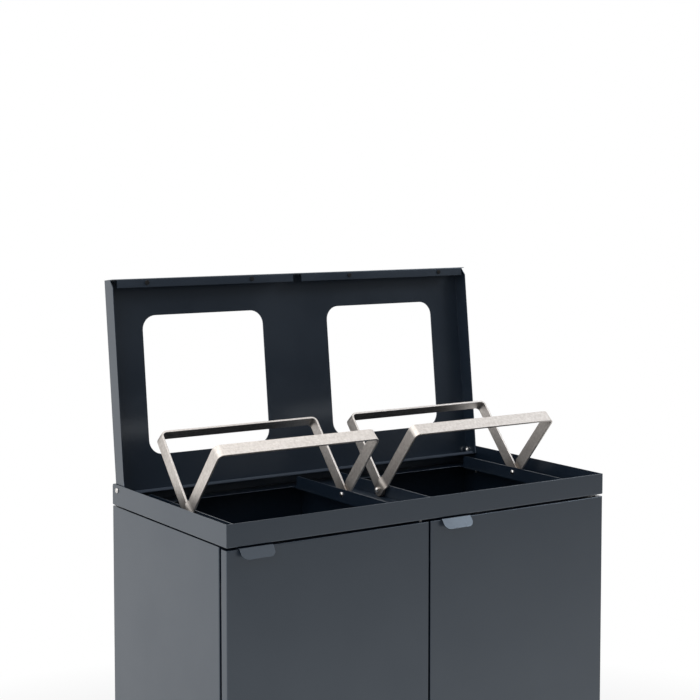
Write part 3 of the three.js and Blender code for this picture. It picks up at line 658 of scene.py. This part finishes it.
def frame_line():
    """Middle line of half a loop, then mirrored.

    Up the leg from half a bar below the pivot, a quarter turn of the bend's radius, and half way
    across. Rows are (x, t, direction of x, direction of t), with t measured from the pivot.
    """
    half = LOOP_HALF - BAR_THICKNESS / 2
    top = LOOP_REACH - BAR_THICKNESS / 2
    radius = BAR_BEND + BAR_THICKNESS / 2
    round_end = -BAR_WIDTH / 2 * np.cos(np.linspace(ROUND_START, math.pi / 2, 9))
    leg = np.concatenate([round_end, np.linspace(*STEP_ZONE, 41), np.linspace(PLAIN_LEG, top - radius, 10)])
    rows = [np.stack([-half + 0 * leg, leg, 0 * leg, 0 * leg + 1], 1)]
    turn = np.linspace(0, math.pi / 2, 9)[1:]
    arc = [-half + radius - radius * np.cos(turn), top - radius + radius * np.sin(turn)]
    rows.append(np.stack([*arc, np.sin(turn), np.cos(turn)], 1))
    across = np.linspace(-half + radius, 0, 12)[1:]
    rows.append(np.stack([across, top + 0 * across, 0 * across + 1, 0 * across], 1))
    first = np.vstack(rows)
    second = first[:-1][::-1] * [-1, 1, 1, -1]
    return np.vstack([first, second])


line = frame_line()
print("rings along a frame", len(line))


# %% Sweep the four frames
STEP_START = 14.39 * MM  # from the rear leg's middle line
STEP_LENGTH = 9 * MM
STEP_OUT = 4.3 * MM
BAR_EDGE = 0.6 * MM


def bag_frame(side, place):
    """A flat bar swept along the frame's middle line.

    A section point is line + a * thickness direction + b * width direction. In a front frame it then
    shifts outwards by step * (1 - d), where d runs from 0 to 1 across the slanted step.
    """
    name = f"bag_frame_{side}_{place}"
    pivot = middle(f"pivot_bolt_{side}_1")
    pivot[0] = middle(name)[0]
    below = np.minimum(line[:, 1], 0)
    half_width = np.sqrt((BAR_WIDTH / 2) ** 2 - below**2)
    rolled = np.minimum(BAR_EDGE, half_width * 0.8)
    section = rounded_section(np.full(len(line), BAR_THICKNESS / 2), half_width, rolled)
    thick, wide = section[:, :, 0], section[:, :, 1]
    x = line[:, 0, None] - thick * line[:, 3, None]
    t = line[:, 1, None] + thick * line[:, 2, None]
    if place == "front":
        apart = LEANS["front"] + LEANS["rear"]
        from_rear_leg = t * math.sin(apart) - wide * math.cos(apart)
        d = np.clip((from_rear_leg - STEP_START) / STEP_LENGTH, 0, 1)
        x = x + np.sign(line[:, 0, None]) * STEP_OUT * (1 - d)
    lean = LEANS[place]
    back = -1 if place == "front" else 1
    up = np.array([0, back * math.sin(lean), math.cos(lean)])
    across = np.array([0, math.cos(lean), -back * math.sin(lean)])
    rings = pivot + x[:, :, None] * [1, 0, 0] + t[:, :, None] * up + wide[:, :, None] * across
    along = np.concatenate([[0], np.cumsum(np.linalg.norm(np.diff(line[:, :2], axis=0), axis=1))])
    around = lengths_round(section[len(line) // 2])
    piece = skin(f"{name}_bar", rings, along, around)
    piece.data.materials.append(BRUSHED_BAR)
    smooth(piece, 40)
    flat_faces(piece)
    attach(piece, name)
    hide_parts(name)
    return piece


for side in SIDES:
    for place in ("front", "rear"):
        bar = bag_frame(side, place)
        print(bar.name, len(bar.data.polygons), "faces")

# %% [markdown]
# ## Bolts, nuts, washers, pins and feet
#
# The small turned pieces keep their CAD shape. They get the same treatment as the sheet: merged, with a
# fine roll on their edges, and a finish of their own.

# %% Dress the small pieces
for side in SIDES:
    for end in (1, 2):
        dressed(f"pivot_bolt_{side}_{end}", "turned", TURNED_STEEL, 0.15 * MM, 50)
        dressed(f"pivot_nut_{side}_{end}", "turned", TURNED_STEEL, 0.25 * MM, 50)
        dressed(f"pivot_washer_{side}_{end}", "moulded", NYLON, 0.15 * MM, 50)
    dressed(f"lid_hinge_bolt_{side}", "turned", TURNED_STEEL, 0.15 * MM, 50)
    dressed(f"lid_hinge_nut_{side}", "turned", TURNED_STEEL, 0.25 * MM, 50)
    dressed(f"catch_{side}", "moulded", NYLON, 0.8 * MM)
    for end in ("top", "foot"):
        dressed(f"door_pin_{side}_{end}", "plated", ZINC_PLATE, 0.2 * MM, 50)
for number in range(1, 5):
    dressed(f"tray_bolt_{number}", "plated", ZINC_PLATE, 0.15 * MM, 50)
    dressed(f"tray_spacer_{number}", "moulded", NYLON, 0.2 * MM, 50)
    dressed(f"foot_{number}", "moulded", NYLON, 0.5 * MM, 50)
    dressed(f"lid_buffer_{number}", "moulded", RUBBER, 0.2 * MM, 50)
print("solids left plain", [key for key, item in frame["nodes"].items() if not item.hide_render])

# %% [markdown]
# ## Studio
#
# A white room lit by itself would show no shape, and lamps alone would give hard shadows and black
# reflections. So the room is white for the camera and for mirror rays, and dim as a source of light,
# and three soft lamps make the shape: a large one on the left, which makes the bin's side lighter than
# its doors, one above the tray, and a small cool one on the right for the glint on the door pulls.
#
# The paint shows mostly what it mirrors. For mirror rays the front of the studio is therefore open and
# dark, as it is behind a real camera, and the floor grows darker towards it. That keeps the doors and
# the lid's inside dark while the side stays light.

# %% Floor
FLOOR_HALF = 30.0
FLOOR_GREY = (0.80, 0.80, 0.80, 1)


def floor_material():
    """Pale and matt under the bin, plain white further out, and darker in front for mirror rays.

    The white grows with the distance from the bin. What mirror rays see falls in two slopes along -y:
    one just in front of the bin and a steep one where the studio ends.
    """
    material, tree, shader = new_finish("Studio floor", Roughness=0.9, Base_Color=FLOOR_GREY)
    place = object_place(tree)
    distance = node(tree, "ShaderNodeVectorMath", {0: place}, operation="LENGTH").outputs["Value"]
    white_share = spread(tree, distance, 0.6, 2.2, 0.4, 1.0)
    path = node(tree, "ShaderNodeLightPath").outputs
    seen = maths(tree, "MAXIMUM", path["Is Camera Ray"], path["Is Glossy Ray"])
    seen = maths(tree, "MAXIMUM", seen, path["Is Transmission Ray"])
    split = node(tree, "ShaderNodeSeparateXYZ", {0: place})
    near = spread(tree, split.outputs["Y"], -1.2, -2.6, 1.0, 0.64)
    far = spread(tree, split.outputs["Y"], -4.7, -7.5, 1.0, 0.05)
    mirrored = maths(tree, "MULTIPLY", near, far)
    strength = maths(tree, "MAXIMUM", mirrored, maths(tree, "SUBTRACT", 1.0, path["Is Glossy Ray"]))
    white = node(tree, "ShaderNodeEmission", {"Color": (1, 1, 1, 1), "Strength": strength}).outputs[0]
    mask = maths(tree, "MULTIPLY", white_share, seen)
    mix = node(tree, "ShaderNodeMixShader", {0: mask, 1: shader.outputs[0], 2: white})
    tree.links.new(mix.outputs[0], tree.nodes["Material Output"].inputs["Surface"])
    return material


signs = ((-1, -1), (1, -1), (1, 1), (-1, 1))
floor_mesh = bpy.data.meshes.new("floor")
floor_mesh.from_pydata([(FLOOR_HALF * x, FLOOR_HALF * y, 0) for x, y in signs], [], [(0, 1, 2, 3)])
floor = bpy.data.objects.new("floor", floor_mesh)
scene.collection.objects.link(floor)
floor_mesh.materials.append(floor_material())
print("floor", 2 * FLOOR_HALF, "m square")


# %% Room and lamps
WHITE = (1, 1, 1, 1)
DIM = (0.30, 0.305, 0.315, 1)
COOL = (0.78, 0.88, 1.0)
BIN_MIDDLE = (0, 0, 0.8)


def room():
    """White for camera and mirror rays, with a darker front for mirror rays; dim grey for the rest.

    A direction's y is -1 straight in front of the doors. There mirror rays see the dark front, which
    grows paler with the direction's height.
    """
    world = bpy.data.worlds.new("Studio room")
    world.use_nodes = True
    tree = world.node_tree
    tree.nodes.clear()
    path = node(tree, "ShaderNodeLightPath").outputs
    seen = maths(tree, "MAXIMUM", path["Is Camera Ray"], path["Is Transmission Ray"])
    direction = node(tree, "ShaderNodeTexCoord").outputs["Generated"]
    split = node(tree, "ShaderNodeSeparateXYZ", {0: direction})
    height = spread(tree, split.outputs["Z"], 0.04, 0.40, 0.02, 0.22)
    front = spread(tree, split.outputs["Y"], -0.15, -0.75, 1.0, height)
    mirrored = maths(tree, "MULTIPLY", path["Is Glossy Ray"], front)
    strength = maths(tree, "MAXIMUM", seen, mirrored)
    dim = node(tree, "ShaderNodeBackground", {"Color": DIM, "Strength": 1.0})
    pale = node(tree, "ShaderNodeBackground", {"Color": WHITE, "Strength": strength})
    chosen = maths(tree, "MAXIMUM", seen, path["Is Glossy Ray"])
    mix = node(tree, "ShaderNodeMixShader", {0: chosen, 1: dim.outputs[0], 2: pale.outputs[0]})
    output = node(tree, "ShaderNodeOutputWorld")
    tree.links.new(mix.outputs[0], output.inputs["Surface"])
    return world


scene.world = room()


def soft_lamp(name, place, target, size, power, colour=(1, 1, 1)):
    """A square lamp that looks from its place at a target."""
    lamp = bpy.data.lights.new(name, "AREA")
    lamp.shape = "SQUARE"
    lamp.size = size
    lamp.energy = power
    lamp.color = colour
    made = bpy.data.objects.new(name, lamp)
    scene.collection.objects.link(made)
    aim = np.array(target) - np.array(place)
    yaw = math.atan2(aim[1], aim[0]) - math.pi / 2
    pitch = math.atan2(np.hypot(aim[0], aim[1]), -aim[2])
    made.location = place
    made.rotation_euler = (pitch, 0, yaw)
    print(name, "radiance", round(power / (math.pi * size**2), 2))


soft_lamp("key lamp", (-3.0, -1.0, 2.4), BIN_MIDDLE, 3.2, 55)
soft_lamp("top lamp", (-0.4, 0.2, 3.6), BIN_MIDDLE, 2.4, 26)
soft_lamp("glint lamp", (2.2, -1.2, 2.8), (0.1, -0.2, 0.95), 0.9, 13, COOL)

# %% [markdown]
# ## Camera
#
# The bin is seen from its front left, from eye height and with a long lens, and its upright lines stay
# nearly upright. A level camera with a large shift would keep them fully so, but the same shift would
# push the open lid out of every other view. So the camera looks down a little and the picture is shifted
# a little. Place, angle and lens were fitted to the edges of the tray, the lid and its windows.

# %% Camera and picture settings
EYE = (-1.6802, -2.48605, 1.56141)
LOOKS_DOWN = 0.0648538
LOOKS_RIGHT = 0.588453
LENS = 79.918
FILM_WIDTH = 36
PICTURE_PIXELS = 700
SHIFT_PIXELS = -60
camera_data = bpy.data.cameras.new("camera")
camera = bpy.data.objects.new("camera", camera_data)
scene.collection.objects.link(camera)
camera.location = EYE
camera.rotation_euler = (math.pi / 2 - LOOKS_DOWN, 0, -LOOKS_RIGHT)
camera_data.sensor_width = FILM_WIDTH
camera_data.lens = LENS
camera_data.shift_x = 0
camera_data.shift_y = SHIFT_PIXELS / PICTURE_PIXELS
camera_data.dof.use_dof = False
camera_data.clip_end = 200
scene.camera = camera
scene.view_settings.view_transform = "Standard"
print("camera", EYE, "turned", round(math.degrees(LOOKS_RIGHT), 2), "degrees")
